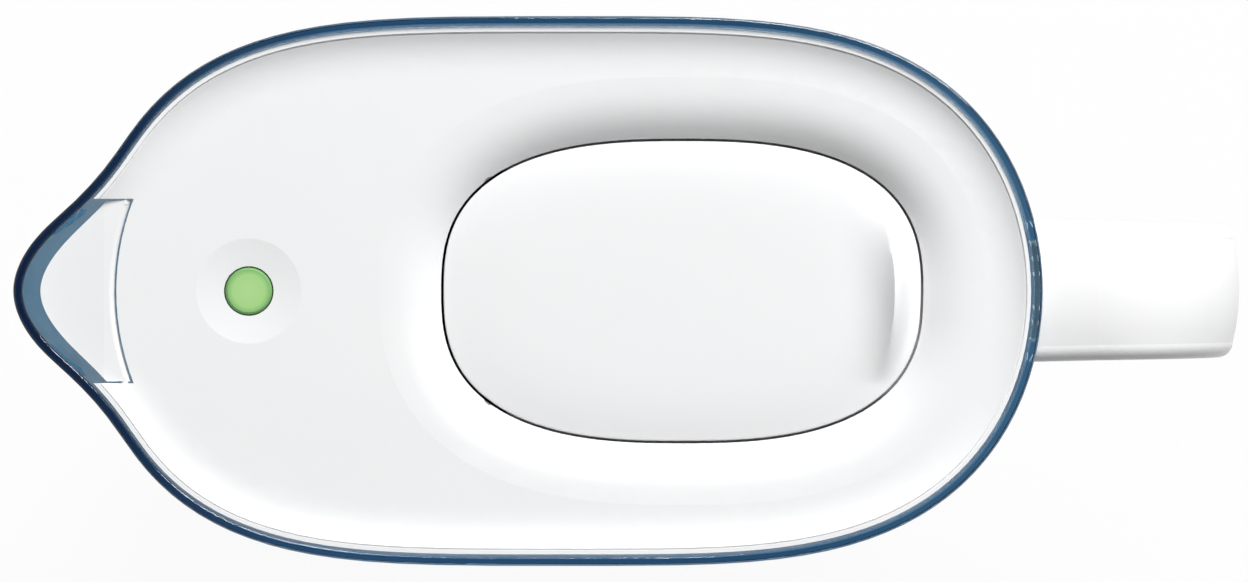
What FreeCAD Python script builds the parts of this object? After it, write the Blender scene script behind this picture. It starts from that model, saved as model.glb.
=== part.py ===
import FreeCAD, Part
import math
import os
import re
import types

import Sketcher

# Water filter pitcher: a clear jug with its spout at -X and its handle at +X, a funnel that hangs
# in the jug, a filter cartridge in the funnel, and a lid with a filling flap, a spout flap and a
# change indicator. The origin is the middle of the base on the table and +Z is up.
# All sizes are in millimetres.

SIZES = (
    # jug
    ("rim_height", "266"),
    ("rim_front", "103.5"),
    ("rim_rear", "97"),
    ("rim_half_width", "57.5"),
    ("spout_reach", "15"),
    ("spout_half_width", "47.5"),
    ("spout_rise", "95"),
    ("base_front", "70"),
    ("base_rear", "68"),
    ("base_half_width", "42"),
    ("jug_wall", "2"),
    ("jug_floor", "3.4"),
    ("base_round", "9"),
    ("rim_round", "0.55"),
    ("ledge_depth", "20"),
    ("ledge_width", "1.8"),
    ("ledge_height", "5"),
    # handle
    ("handle_reach", "41"),
    ("handle_drop", "4"),
    ("handle_height", "158"),
    ("handle_thick", "19"),
    ("handle_root_width", "30"),
    ("handle_grip_width", "27"),
    ("handle_bend", "20"),
    ("handle_round", "3.2"),
    ("handle_crown", "1.4"),
    ("handle_wall", "2.4"),
    ("liner_thick", "3"),
    ("liner_gap", "0.1"),
    ("lug_length", "13"),
    ("lug_gap", "0.3"),
    ("root_bite", "7"),
    # funnel
    ("fit_gap", "0.4"),
    ("flange_thick", "2.5"),
    ("funnel_wall", "2"),
    ("tank_front", "90"),
    ("tank_rear", "84"),
    ("tank_half_width", "48"),
    ("tank_depth", "88"),
    ("tank_draft", "6"),
    ("tank_round", "6"),
    ("socket_x", "10"),
    ("socket_radius", "31"),
    ("socket_depth", "98"),
    ("outlet_radius", "21"),
    # cartridge
    ("cup_radius", "29.5"),
    ("cup_taper", "2.5"),
    ("cup_depth", "94"),
    ("cup_wall", "1.6"),
    ("cup_flange", "2"),
    ("cup_flange_radius", "34"),
    ("seal_thick", "2"),
    ("seal_width", "2.6"),
    ("mesh_thick", "0.8"),
    ("fill_gap", "0.1"),
    ("cap_skirt", "5"),
    ("cap_rise", "9"),
    ("cap_top_radius", "17"),
    ("cap_wall", "1.8"),
    ("loop_radius", "13"),
    ("loop_bar", "3.5"),
    ("loop_width", "7"),
    ("slot_width", "3"),
    ("slot_start", "6"),
    ("slot_length", "14"),
    # lid
    ("lid_drop", "1"),
    ("lip_land", "0.9"),
    ("groove_width", "0.35"),
    ("groove_depth", "0.6"),
    ("lip_width", "9"),
    ("lip_depth", "2"),
    ("plate_thick", "2"),
    ("skirt_thick", "2.2"),
    ("crater_depth", "4.5"),
    ("crater_width", "12.5"),
    ("collar_wall", "2"),
    ("seat_width", "2.6"),
    ("seat_thick", "2"),
    # filling flap
    ("flap_front", "28.4"),
    ("flap_rear", "71.6"),
    ("flap_half_width", "31.4"),
    ("flap_gap", "0.55"),
    ("flap_depth", "4.4"),
    ("flap_plate", "2.2"),
    ("flap_wall", "1.8"),
    ("flap_dome", "1.4"),
    ("flap_edge_round", "0.6"),
    ("flap_axis_back", "9.2"),
    ("flap_axis_depth", "0.8"),
    ("flap_pin_radius", "1.1"),
    ("flap_pin_half_span", "26.5"),
    ("flap_pin_length", "6"),
    ("pin_gap", "0.05"),
    ("ear_half", "4"),
    ("ear_cover", "2.2"),
    ("ridge_margin", "2"),
    ("ridge_thick", "3.2"),
    ("ridge_rise", "2.6"),
    ("ridge_rear_radius", "30.8"),
    ("ridge_front_radius", "70"),
    ("ridge_arch_radius", "34"),
    ("roll_set_back", "37.7"),
    ("roll_rise", "0.8"),
    ("roll_height", "20"),
    ("roll_length", "62"),
    ("roll_width", "80"),
    # spout flap
    ("seam_front", "96.8"),
    ("seam_radius", "52.75"),
    ("seam_gap", "0.4"),
    ("spout_flap_half_width", "18.9"),
    ("spout_flap_inset", "2"),
    ("spout_flap_thick", "1.8"),
    ("spout_flap_crease", "2.6"),
    ("spout_flap_fall", "1.6"),
    ("spout_edge_round", "1.3"),
    ("spout_axis_back", "1.8"),
    ("spout_axis_depth", "0.6"),
    ("spout_pin_radius", "0.65"),
    ("spout_pin_length", "3"),
    ("spout_pin_root", "0.8"),
    ("cheek_width", "4.4"),
    ("notch_rear", "80"),
    # change indicator
    ("lens_x", "69.1"),
    ("lens_radius", "4.9"),
    ("lens_proud", "0.3"),
    ("lens_edge_round", "0.4"),
    ("lens_flange", "1"),
    ("lens_flange_margin", "1.6"),
    ("dimple_radius", "11"),
    ("dimple_depth", "0.7"),
    ("button_gap", "0.3"),
    ("button_travel", "0.8"),
    ("pad_thick", "1.2"),
    ("housing_radius", "13.5"),
    ("housing_wall", "1.5"),
    ("board_ledge", "1"),
    ("board_thick", "1"),
    ("board_gap", "0.15"),
    ("switch_side", "6"),
    ("switch_height", "3"),
    ("plunger_radius", "1.7"),
    ("plunger_rise", "1.2"),
    ("plunger_depth", "1"),
    ("led_side", "2"),
    ("led_height", "0.9"),
    ("led_x", "5.6"),
    ("cell_radius", "10"),
    ("cell_thick", "3.2"),
    ("cell_bevel", "0.6"),
    ("spring_rise", "1.3"),
    ("spring_radius", "5"),
    ("contact_thick", "0.4"),
    ("tab_width", "4"),
    ("tab_gap", "0.3"),
    ("gasket_thick", "0.8"),
    ("cover_plug", "2.6"),
    ("cover_flange", "1.2"),
    ("coin_slot_width", "1.8"),
    ("coin_slot_depth", "0.7"),
    ("coin_slot_half", "7"),
    # every cut runs this far past the face it leaves by
    ("overrun", "2"),
)

doc = FreeCAD.newDocument("pitcher")
dims = doc.addObject("Spreadsheet::Sheet", "dims")
for row, (alias, text) in enumerate(SIZES, 1):
    dims.set(f"A{row}", alias)
    dims.set(f"B{row}", text)
    dims.setAlias(f"B{row}", alias)
doc.recompute()
d = types.SimpleNamespace(**{alias: dims.get(alias) for alias, text in SIZES})

# How full the ovals are along their length and across it, and how the spout swells from the oval.
# These are powers and counts, so they do not grow with the part.
JUG_FRONT_POWER = 4.1
JUG_REAR_POWER = 3.6
JUG_SIDE_POWER = 2
FLAP_POWER = 2.66
TAPER_POWER = 0.85
SPOUT_POWER = 1.5
BELL_STRETCH = 1.2
BELL_POWER = 4
LIP_POWER = 3
CRATER_POWER = 3
JUG_POINTS = 48
TANK_POINTS = 24
FLAP_POINTS = 40
FINE_STEPS = 160
SLOT_COUNT = 8

NEAR_SHARE = 0.0001
near = d.rim_height * NEAR_SHARE


# Formulas in the sheet's names, and the boolean steps that the pieces are made with.
def formula(text):
    return re.sub(r"\b([a-z]\w*)", r"dims.\1", text)


def number(text):
    return float(dims.evalExpression(formula(text)))


def solid(kind, name, spot, **sizes):
    item = doc.addObject("Part::" + kind, name)
    for size_name, text in sizes.items():
        item.setExpression(size_name, formula(text))
    for axis, text in zip("xyz", spot):
        item.setExpression("Placement.Base." + axis, formula(text))
    return item


def across(item):
    """Turn a cylinder from the Z axis onto the Y axis."""
    item.Placement.Rotation = FreeCAD.Rotation(FreeCAD.Vector(1, 0, 0), -90)
    return item


def cut(name, base, tool):
    item = doc.addObject("Part::Cut", name)
    item.Base = base
    item.Tool = tool
    item.Refine = False
    return item


def common(name, base, tool):
    item = doc.addObject("Part::Common", name)
    item.Base = base
    item.Tool = tool
    item.Refine = False
    return item


def fuse(name, *shapes):
    item = doc.addObject("Part::MultiFuse", name)
    item.Shapes = list(shapes)
    item.Refine = False
    return item


def settle():
    """Recompute, and stop at once if any object failed."""
    doc.recompute()
    for item in doc.Objects:
        if "Invalid" in item.State or "Error" in item.State:
            raise ValueError(f"{item.Name} did not build")


def round_edges(name, base, radius, wanted):
    settle()
    item = doc.addObject("Part::Fillet", name)
    item.Base = base
    numbered = enumerate(base.Shape.Edges, 1)
    item.Edges = [(index, radius, radius) for index, edge in numbered if wanted(edge)]
    return item


def level(edge, height):
    """True for an edge that lies wholly at one height."""
    first, last = edge.ParameterRange
    shares = (0, 0.3, 0.6, 1)
    spots = [edge.valueAt(first + (last - first) * share).z for share in shares]
    return all(abs(spot - height) < near for spot in spots)


# Outlines: a closed ring of points round an oval, with the spout bell pushed out of its front and
# the whole ring moved inwards by the inset.
def outline(centre, front, rear, half, powers, reach, inset, count):
    front_power, rear_power, side_power = powers
    upper = []
    for step in range(FINE_STEPS + 1):
        along = 1 - (step / FINE_STEPS) ** 2
        upper.append((rear * along, half * (1 - along ** rear_power) ** (1 / side_power)))
    for step in range(FINE_STEPS - 1, -1, -1):
        along = 1 - (step / FINE_STEPS) ** 2
        y = half * (1 - along ** front_power) ** (1 / side_power)
        turn = min(y / d.spout_half_width, 1) ** BELL_STRETCH * math.pi
        bell = (0.5 + 0.5 * math.cos(turn)) ** BELL_POWER
        upper.append((-front * along - reach * bell, y))
    ring = upper + [(x, -y) for x, y in reversed(upper[1:-1])]
    moved = []
    for index, (x, y) in enumerate(ring):
        x_next, y_next = ring[(index + 1) % len(ring)]
        x_last, y_last = ring[index - 1]
        length = math.hypot(x_next - x_last, y_next - y_last)
        moved.append((x - inset * (y_next - y_last) / length, y + inset * (x_next - x_last) / length))
    return evenly_spaced([(centre + x, y) for x, y in moved], count)


def evenly_spaced(ring, count):
    """The same closed ring as a fixed count of points, evenly spaced along it."""
    closed = ring + ring[:1]
    gone = [0]
    for (x, y), (x_next, y_next) in zip(closed, closed[1:]):
        gone.append(gone[-1] + math.hypot(x_next - x, y_next - y))
    points = []
    spot = 0
    for index in range(count):
        target = gone[-1] * index / count
        while gone[spot + 1] < target:
            spot += 1
        share = (target - gone[spot]) / (gone[spot + 1] - gone[spot])
        (x, y), (x_next, y_next) = closed[spot], closed[spot + 1]
        points.append((x + (x_next - x) * share, y + (y_next - y) * share))
    return points


def jug_outline(height, inset):
    rise = (height / d.rim_height) ** TAPER_POWER
    front = d.base_front + (d.rim_front - d.base_front) * rise
    rear = d.base_rear + (d.rim_rear - d.base_rear) * rise
    half = d.base_half_width + (d.rim_half_width - d.base_half_width) * rise
    grown = max(0, 1 - (d.rim_height - height) / d.spout_rise)
    powers = (JUG_FRONT_POWER, JUG_REAR_POWER, JUG_SIDE_POWER)
    return outline(0, front, rear, half, powers, d.spout_reach * grown ** SPOUT_POWER, inset,
                   JUG_POINTS)


def tank_outline(inset):
    powers = (JUG_FRONT_POWER, JUG_REAR_POWER, JUG_SIDE_POWER)
    return outline(0, d.tank_front, d.tank_rear, d.tank_half_width, powers, 0, inset, TANK_POINTS)


def flap_outline(inset):
    centre = (d.flap_rear - d.flap_front) / 2
    half_length = (d.flap_rear + d.flap_front) / 2
    powers = (FLAP_POWER, FLAP_POWER, FLAP_POWER)
    return outline(centre, half_length, half_length, d.flap_half_width, powers, 0, inset,
                   FLAP_POINTS)


def ring(name, points, height):
    curve = Part.BSplineCurve()
    knots = [index / len(points) for index in range(len(points) + 1)]
    spots = [FreeCAD.Vector(x, y, 0) for x, y in points]
    curve.interpolate(Points=spots, PeriodicFlag=True, Parameters=knots)
    item = doc.addObject("Part::Feature", name)
    item.Shape = Part.Wire([curve.toShape()])
    item.Placement.Base = FreeCAD.Vector(0, 0, height)
    return item


def loft(name, levels, ruled=True):
    """A solid through rings given as (points, height), from the lowest or the innermost ring on."""
    item = doc.addObject("Part::Loft", name)
    item.Sections = [ring(f"{name}_ring", points, height) for points, height in levels]
    item.Solid = True
    item.Ruled = ruled
    return item


# Sketches on a body's own planes, with every corner held by two formulas.
def plane_of(body, role):
    return next(item for item in body.Origin.OriginFeatures if item.Role == role)


def new_body(name, spot):
    body = doc.addObject("PartDesign::Body", name)
    for axis, text in zip("xyz", spot):
        body.setExpression("Placement.Base." + axis, formula(text))
    return body


def corner_sketch(body, name, role, corners):
    sketch = body.newObject("Sketcher::SketchObject", name)
    sketch.AttachmentSupport = (plane_of(body, role), "")
    sketch.MapMode = "FlatFace"
    spots = [FreeCAD.Vector(number(x), number(y), 0) for x, y in corners]
    for start, end in zip(spots, spots[1:] + spots[:1]):
        sketch.addGeometry(Part.LineSegment(start, end))
    for index in range(len(spots)):
        last = (index - 1) % len(spots)
        sketch.addConstraint(Sketcher.Constraint("Coincident", last, 2, index, 1))
    for index, (x, y) in enumerate(corners):
        for kind, text, axis in (("DistanceX", x, -2), ("DistanceY", y, -1)):
            if text == "0":
                sketch.addConstraint(Sketcher.Constraint("PointOnObject", index, 1, axis))
            else:
                held = sketch.addConstraint(Sketcher.Constraint(kind, -1, 1, index, 1, number(text)))
                sketch.setExpression(f"Constraints[{held}]", formula(text))
    return sketch


def revolve(body, name, corners):
    """Turn a profile, given as (radius, height) formulas, about the body's Z axis."""
    sketch = corner_sketch(body, name + "_profile", "XZ_Plane", corners)
    item = body.newObject("PartDesign::Revolution", name)
    item.Profile = sketch
    item.ReferenceAxis = (sketch, ["V_Axis"])
    item.Angle = 360
    settle()
    return item


def turned(name, spot, corners):
    body = new_body(name, spot)
    revolve(body, name + "_turned", corners)
    return body


def slots(body, name, corners):
    """Cut one slot through the body along Z and repeat it round the axis."""
    settle()
    before = body.Shape.Volume
    sketch = corner_sketch(body, name + "_plan", "XY_Plane", corners)
    pocket = body.newObject("PartDesign::Pocket", name)
    pocket.Profile = sketch
    pocket.Type = "ThroughAll"
    pocket.SideType = "Symmetric"
    settle()
    pattern = body.newObject("PartDesign::PolarPattern", name + "_round")
    pattern.Originals = [pocket]
    pattern.Axis = (sketch, ["N_Axis"])
    pattern.Angle = 360
    pattern.Occurrences = SLOT_COUNT
    body.Tip = pattern
    settle()
    if not body.Shape.Volume < before:
        raise ValueError(name + " cuts nothing")


# Heights that several pieces share
ledge_top = "rim_height - ledge_depth"
flange_top = f"{ledge_top} + flange_thick"
lid_top = "rim_height - lid_drop"
plateau = f"{lid_top} - lip_depth"
flap_edge = f"{plateau} - crater_depth"
tank_floor = f"{flange_top} - tank_depth"
front_end = "0 - rim_front - spout_reach - overrun"

# Jug: a tapered oval shell with a pouring spout, a ledge for the funnel and two lugs for the handle
SPOUT_ROOT = d.rim_height - d.spout_rise
LOWER_SHARES = (0.35, 0.7)
UPPER_SHARES = (0.25, 0.5, 0.75)
middle_heights = [SPOUT_ROOT * share for share in LOWER_SHARES] + [SPOUT_ROOT]
middle_heights += [SPOUT_ROOT + d.spout_rise * share for share in UPPER_SHARES]

outer_heights = [0] + middle_heights + [d.rim_height]
jug_outer_raw = loft("jug_outer_raw", [(jug_outline(z, 0), z) for z in outer_heights], ruled=False)
jug_outer = round_edges("jug_outer", jug_outer_raw, d.base_round, lambda edge: level(edge, 0))
inner_heights = [d.jug_floor] + middle_heights + [d.rim_height + d.overrun]
inner_levels = [(jug_outline(z, d.jug_wall), z) for z in inner_heights]
jug_inner_raw = loft("jug_inner_raw", inner_levels, ruled=False)
inner_round = d.base_round - d.jug_wall
jug_inner = round_edges("jug_inner", jug_inner_raw, inner_round, lambda edge: level(edge, d.jug_floor))
jug_shell_raw = cut("jug_shell_raw", jug_outer, jug_inner)
jug_shell = round_edges("jug_shell", jug_shell_raw, d.rim_round, lambda edge: level(edge, d.rim_height))

BITE_SHARE = 0.4
ledge_z = number(ledge_top)
ledge_foot = ledge_z - d.ledge_height
ledge_root = d.jug_wall * (1 - BITE_SHARE)
ledge_block = loft("ledge_block", [(jug_outline(z, ledge_root), z) for z in (ledge_foot, ledge_z)])
ledge_inset = d.jug_wall + d.ledge_width
ledge_hole = loft("ledge_hole", [
    (jug_outline(ledge_foot, ledge_root + d.jug_wall * BITE_SHARE / 2), ledge_foot),
    (jug_outline(ledge_z, ledge_inset), ledge_z),
    (jug_outline(ledge_z, ledge_inset), ledge_z + d.overrun),
])
ledge_ring = cut("ledge_ring", ledge_block, ledge_hole)

# The spout notch: the same opening is left in the ledge, the funnel flange and the lid.
notch_half = "(spout_flap_half_width + seam_gap)"
notch_length = f"0 - notch_rear - ({front_end})"
notch_bottom = f"{ledge_top} - ledge_height - overrun"
notch_height = f"rim_height + overrun - ({notch_bottom})"
notch_box = solid("Box", "notch_box", (front_end, f"0 - {notch_half}", notch_bottom),
                  Length=notch_length, Width=f"2 * {notch_half}", Height=notch_height)
seam_centre = "seam_radius - seam_front"
seam_drum = solid("Cylinder", "seam_drum", (seam_centre, "0", notch_bottom),
                  Radius="seam_radius", Height=notch_height)
spout_notch = cut("spout_notch", notch_box, seam_drum)
ledge = cut("ledge", ledge_ring, notch_box)


# Handle: a hollow loop swept along one path, closed on its finger side by a liner
def handle_section(name, width, thick, radius, shift, spot, turn, crown=0):
    """A rounded rectangle square to the path, moved to the finger side, with its outer side crowned."""
    half_y, half_n = width / 2 - radius, thick / 2 - radius
    arcs = []
    for index, (sign_y, sign_n) in enumerate(((1, 1), (-1, 1), (-1, -1), (1, -1))):
        bend = []
        for angle in (90 * index, 90 * index + 45, 90 * index + 90):
            y = sign_y * half_y + radius * math.cos(math.radians(angle))
            n = sign_n * half_n + radius * math.sin(math.radians(angle))
            bend.append(FreeCAD.Vector(0, y, n - shift))
        arcs.append((Part.Arc(*bend).toShape(), bend[0], bend[-1]))
    edges = []
    for (arc, start, end), (arc_next, start_next, end_next) in zip(arcs, arcs[1:] + arcs[:1]):
        edges += [arc, Part.makeLine(end, start_next)]
    if crown:
        top = FreeCAD.Vector(0, 0, thick / 2 + crown - shift)
        edges[1] = Part.Arc(arcs[0][-1], top, arcs[1][1]).toShape()
    item = doc.addObject("Part::Feature", name)
    item.Shape = Part.Wire(edges)
    item.Placement = FreeCAD.Placement(spot, FreeCAD.Rotation(FreeCAD.Vector(0, 1, 0), turn))
    return item


def rear_at(height):
    return max(x for x, y in jug_outline(height, 0))


arm_top = d.rim_height - d.handle_drop - d.handle_thick / 2
arm_low = arm_top - d.handle_height
grip_x = d.rim_rear + d.handle_reach - d.handle_thick / 2
top_start = FreeCAD.Vector(rear_at(arm_top) - d.root_bite, 0, arm_top)
top_bend = FreeCAD.Vector(grip_x - d.handle_bend, 0, arm_top)
grip_start = FreeCAD.Vector(grip_x, 0, arm_top - d.handle_bend)
grip_end = FreeCAD.Vector(grip_x, 0, arm_low + d.handle_bend)
low_bend = FreeCAD.Vector(grip_x - d.handle_bend, 0, arm_low)
low_end = FreeCAD.Vector(rear_at(arm_low) - d.root_bite, 0, arm_low)
bend_step = d.handle_bend * math.sqrt(0.5)
top_mid = FreeCAD.Vector(top_bend.x + bend_step, 0, grip_start.z + bend_step)
low_mid = FreeCAD.Vector(low_bend.x + bend_step, 0, grip_end.z - bend_step)
handle_path = doc.addObject("Part::Feature", "handle_path")
handle_path.Shape = Part.Wire([
    Part.makeLine(top_start, top_bend),
    Part.Arc(top_bend, top_mid, grip_start).toShape(),
    Part.makeLine(grip_start, grip_end),
    Part.Arc(grip_end, low_mid, low_bend).toShape(),
    Part.makeLine(low_bend, low_end),
])


def handle_sweep(name, root_width, grip_width, thick, radius, shift, crown=0):
    """One solid along the handle path, wide at both roots and narrower at the grip."""
    grip_middle = (grip_start + grip_end) / 2
    places = ((root_width, top_start, 0), (grip_width, grip_middle, 90), (root_width, low_end, 180))
    item = doc.addObject("Part::Sweep", name)
    item.Sections = [handle_section(name + "_section", width, thick, radius, shift, spot, turn, crown)
                     for width, spot, turn in places]
    item.Spine = (handle_path, [f"Edge{index}" for index in range(1, len(handle_path.Shape.Edges) + 1)])
    item.Solid = True
    return item


handle_outer = handle_sweep("handle_outer", d.handle_root_width, d.handle_grip_width,
                            d.handle_thick, d.handle_round, 0, d.handle_crown)
hollow_thick = d.handle_thick - 2 * d.handle_wall
hollow_round = d.handle_round - d.handle_wall
handle_hollow = handle_sweep("handle_hollow", d.handle_root_width - 2 * d.handle_wall,
                             d.handle_grip_width - 2 * d.handle_wall, hollow_thick, hollow_round, 0)
liner_width = d.handle_grip_width - 2 * d.handle_round
LINER_ROUND_SHARE = 0.2
liner_round = d.liner_thick * LINER_ROUND_SHARE
liner_shift = (d.handle_thick - d.liner_thick) / 2
liner_raw = handle_sweep("liner_raw", liner_width, liner_width, d.liner_thick, liner_round, liner_shift)
liner_space = handle_sweep("liner_space", liner_width + 2 * d.liner_gap, liner_width + 2 * d.liner_gap,
                           d.liner_thick, liner_round, liner_shift)
handle_tube = cut("handle_tube", handle_outer, fuse("handle_core", handle_hollow, liner_space))
handle_shell = cut("handle_shell", handle_tube, jug_outer)
handle_liner = cut("handle_liner", liner_raw, jug_outer)

# The lugs grow out of the middle of the jug's rear wall and fill the two ends of the hollow handle.
jug_middle = loft("jug_middle", [(jug_outline(z, d.jug_wall / 2), z) for z in inner_heights], ruled=False)
lug_width = d.handle_grip_width - 2 * d.handle_wall - 2 * d.lug_gap
lug_thick = d.handle_thick - d.handle_wall - d.liner_thick - 2 * d.lug_gap
lug_shift = (d.handle_wall - d.liner_thick) / 2
lugs = []
for lug_name, spot, turn in (("lug_top", top_start, 0), ("lug_low", low_end, 180)):
    section = handle_section(lug_name + "_section", lug_width, lug_thick, hollow_round, lug_shift,
                             spot, turn)
    lug = doc.addObject("Part::Extrusion", lug_name + "_bar")
    lug.Base = section
    lug.DirMode = "Custom"
    lug.Dir = FreeCAD.Vector(1, 0, 0)
    lug.setExpression("LengthFwd", formula("root_bite + lug_length"))
    lug.Solid = True
    lugs.append(cut(lug_name, lug, jug_middle))
jug = fuse("jug_whole", jug_shell, ledge, *lugs)

# Funnel: a flange on the jug's ledge, a tank for raw water and a socket for the cartridge
ledge_inset_free = d.jug_wall + d.fit_gap
flange_z = number(flange_top)
flange_levels = [(jug_outline(ledge_z, ledge_inset_free), ledge_z),
                 (jug_outline(flange_z, ledge_inset_free), flange_z)]
flange_whole = loft("flange_whole", flange_levels)
funnel_flange = cut("funnel_flange", flange_whole, spout_notch)
floor_z = number(tank_floor)
tank_foot = floor_z - d.funnel_wall
tank_raw = loft("tank_raw", [(tank_outline(d.tank_draft), tank_foot), (tank_outline(0), flange_z)])
tank = round_edges("tank", tank_raw, d.tank_round, lambda edge: level(edge, tank_foot))
tank_space_raw = loft("tank_space_raw", [(tank_outline(d.tank_draft + d.funnel_wall), floor_z),
                                         (tank_outline(d.funnel_wall), flange_z),
                                         (tank_outline(d.funnel_wall), flange_z + d.overrun)])
tank_space = round_edges("tank_space", tank_space_raw, d.tank_round - d.funnel_wall,
                         lambda edge: level(edge, floor_z))
socket_foot = f"{tank_floor} - socket_depth"
socket_tube = solid("Cylinder", "socket_tube", ("socket_x", "0", socket_foot),
                    Radius="socket_radius + funnel_wall", Height="socket_depth")
socket_space = solid("Cylinder", "socket_space", ("socket_x", "0", f"{socket_foot} + funnel_wall"),
                     Radius="socket_radius", Height="socket_depth + overrun")
outlet = solid("Cylinder", "outlet", ("socket_x", "0", f"{socket_foot} - overrun"),
               Radius="outlet_radius", Height="socket_depth")
funnel_body = fuse("funnel_body", funnel_flange, tank, socket_tube)
funnel_space = fuse("funnel_space", tank_space, socket_space, outlet)
funnel = cut("funnel_whole", funnel_body, funnel_space)

# Cartridge: it hangs by its flange on the tank floor, with a seal ring between the two.
socket_spot = ("socket_x", "0", tank_floor)
cup_top = "seal_thick + cup_flange"
cup_inner = "cup_radius - cup_wall"
cup_floor = "seal_thick - cup_depth + cup_wall"
cartridge_cup = turned("cartridge_cup", socket_spot, (
    ("0", "seal_thick - cup_depth"),
    ("cup_radius - cup_taper", "seal_thick - cup_depth"),
    ("cup_radius", "seal_thick"),
    ("cup_flange_radius", "seal_thick"),
    ("cup_flange_radius", cup_top),
    (cup_inner, cup_top),
    (f"{cup_inner} - cup_taper", cup_floor),
    ("0", cup_floor),
))
slot_corners = (
    ("slot_start", "0 - slot_width / 2"),
    ("slot_start + slot_length", "0 - slot_width / 2"),
    ("slot_start + slot_length", "slot_width / 2"),
    ("slot_start", "slot_width / 2"),
)
slots(cartridge_cup, "cup_slots", slot_corners)
cartridge_seal = turned("cartridge_seal", socket_spot, (
    ("cup_flange_radius - seal_width", "0"),
    ("cup_flange_radius", "0"),
    ("cup_flange_radius", "seal_thick"),
    ("cup_flange_radius - seal_width", "seal_thick"),
))
mesh_low_top = f"{cup_floor} + mesh_thick"
media_top = "0 - mesh_thick"
media_low_radius = f"{cup_inner} - cup_taper - fill_gap"
outlet_mesh = turned("outlet_mesh", socket_spot, (
    ("0", cup_floor),
    (media_low_radius, cup_floor),
    (media_low_radius, mesh_low_top),
    ("0", mesh_low_top),
))
media_slope = "cup_taper / (cup_depth + cup_flange - cup_wall)"
media_top_radius = f"{cup_inner} - fill_gap - {media_slope} * (seal_thick + cup_flange + mesh_thick)"
filter_media = turned("filter_media", socket_spot, (
    ("0", mesh_low_top),
    (media_low_radius, mesh_low_top),
    (media_top_radius, media_top),
    ("0", media_top),
))
inlet_mesh = turned("inlet_mesh", socket_spot, (
    ("0", media_top),
    (media_top_radius, media_top),
    (media_top_radius, "0"),
    ("0", "0"),
))
cap_base = cup_top
cap_shoulder = f"{cup_top} + cap_skirt"
cap_crown = f"{cap_shoulder} + cap_rise"
cartridge_cap = turned("cartridge_cap", socket_spot, (
    ("cup_flange_radius - cap_wall", cap_base),
    ("cup_flange_radius", cap_base),
    ("cup_flange_radius", cap_shoulder),
    ("cap_top_radius", cap_crown),
    ("0", cap_crown),
    ("0", f"{cap_crown} - cap_wall"),
    ("cap_top_radius", f"{cap_crown} - cap_wall"),
    ("cup_flange_radius - cap_wall", f"{cap_shoulder} - cap_wall / 2"),
))
slots(cartridge_cap, "cap_slots", slot_corners)


# The finger loop on top of the cap: a half ring with two straight legs
def finger_loop(body, crown):
    sketch = body.newObject("Sketcher::SketchObject", "loop_profile")
    sketch.AttachmentSupport = (plane_of(body, "XZ_Plane"), "")
    sketch.MapMode = "FlatFace"
    low = number(f"{crown} - cap_wall / 2")
    inner = d.loop_radius - d.loop_bar
    middle = FreeCAD.Vector(0, low, 0)
    for radius in (d.loop_radius, inner):
        circle = Part.Circle(middle, FreeCAD.Vector(0, 0, 1), radius)
        sketch.addGeometry(Part.ArcOfCircle(circle, 0, math.pi))
    for side in (1, -1):
        foot = FreeCAD.Vector(side * inner, low, 0)
        sketch.addGeometry(Part.LineSegment(foot, FreeCAD.Vector(side * d.loop_radius, low, 0)))
    for arc, arc_end, line, line_end in ((0, 1, 2, 2), (1, 1, 2, 1), (0, 2, 3, 2), (1, 2, 3, 1)):
        sketch.addConstraint(Sketcher.Constraint("Coincident", arc, arc_end, line, line_end))
    sketch.addConstraint(Sketcher.Constraint("Coincident", 0, 3, 1, 3))
    sketch.addConstraint(Sketcher.Constraint("PointOnObject", 0, 3, -2))
    sketch.addConstraint(Sketcher.Constraint("Horizontal", 2))
    sketch.addConstraint(Sketcher.Constraint("PointOnObject", 0, 3, 2))
    sketch.addConstraint(Sketcher.Constraint("Horizontal", 3))
    for kind, arc, text in (("Radius", 0, "loop_radius"), ("Radius", 1, "loop_radius - loop_bar")):
        held = sketch.addConstraint(Sketcher.Constraint(kind, arc, number(text)))
        sketch.setExpression(f"Constraints[{held}]", formula(text))
    held = sketch.addConstraint(Sketcher.Constraint("DistanceY", -1, 1, 0, 3, low))
    sketch.setExpression(f"Constraints[{held}]", formula(f"{crown} - cap_wall / 2"))
    pad = body.newObject("PartDesign::Pad", "finger_loop")
    pad.Profile = sketch
    pad.SideType = "Symmetric"
    pad.setExpression("Length", formula("loop_width"))
    body.Tip = pad
    settle()


finger_loop(cartridge_cap, cap_crown)

# Lid: a block that fills the jug's mouth, dished from above and hollowed from below
lid_z = number(lid_top)
plateau_z = number(plateau)
flap_z = number(flap_edge)
lid_block = loft("lid_block", [(jug_outline(flange_z, ledge_inset_free), flange_z),
                               (jug_outline(lid_z, ledge_inset_free), lid_z)])
DISH_SHARES = (0, 0.4, 0.75, 1.1)
dish_levels = []
for share in DISH_SHARES:
    inset = ledge_inset_free + d.lip_land + d.lip_width * (1 - share)
    dish_levels.append((jug_outline(d.rim_height, inset), plateau_z + d.lip_depth * share ** LIP_POWER))
dish = loft("dish", dish_levels, ruled=False)
groove_inset = ledge_inset_free + d.lip_land
groove_foot = lid_z - d.groove_depth
groove_levels = (groove_foot, lid_z + d.overrun)
groove_outer = loft("groove_outer", [(jug_outline(d.rim_height, groove_inset), z) for z in groove_levels])
groove_inner = loft("groove_inner", [(jug_outline(d.rim_height, groove_inset + d.groove_width), z)
                                     for z in (groove_foot - d.overrun, lid_z + 2 * d.overrun)])
groove = cut("groove", groove_outer, groove_inner)
CRATER_SHARES = (-0.06, 0.15, 0.4, 0.7, 1.1)
CRATER_STEEP_SHARE = 0.9


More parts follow.
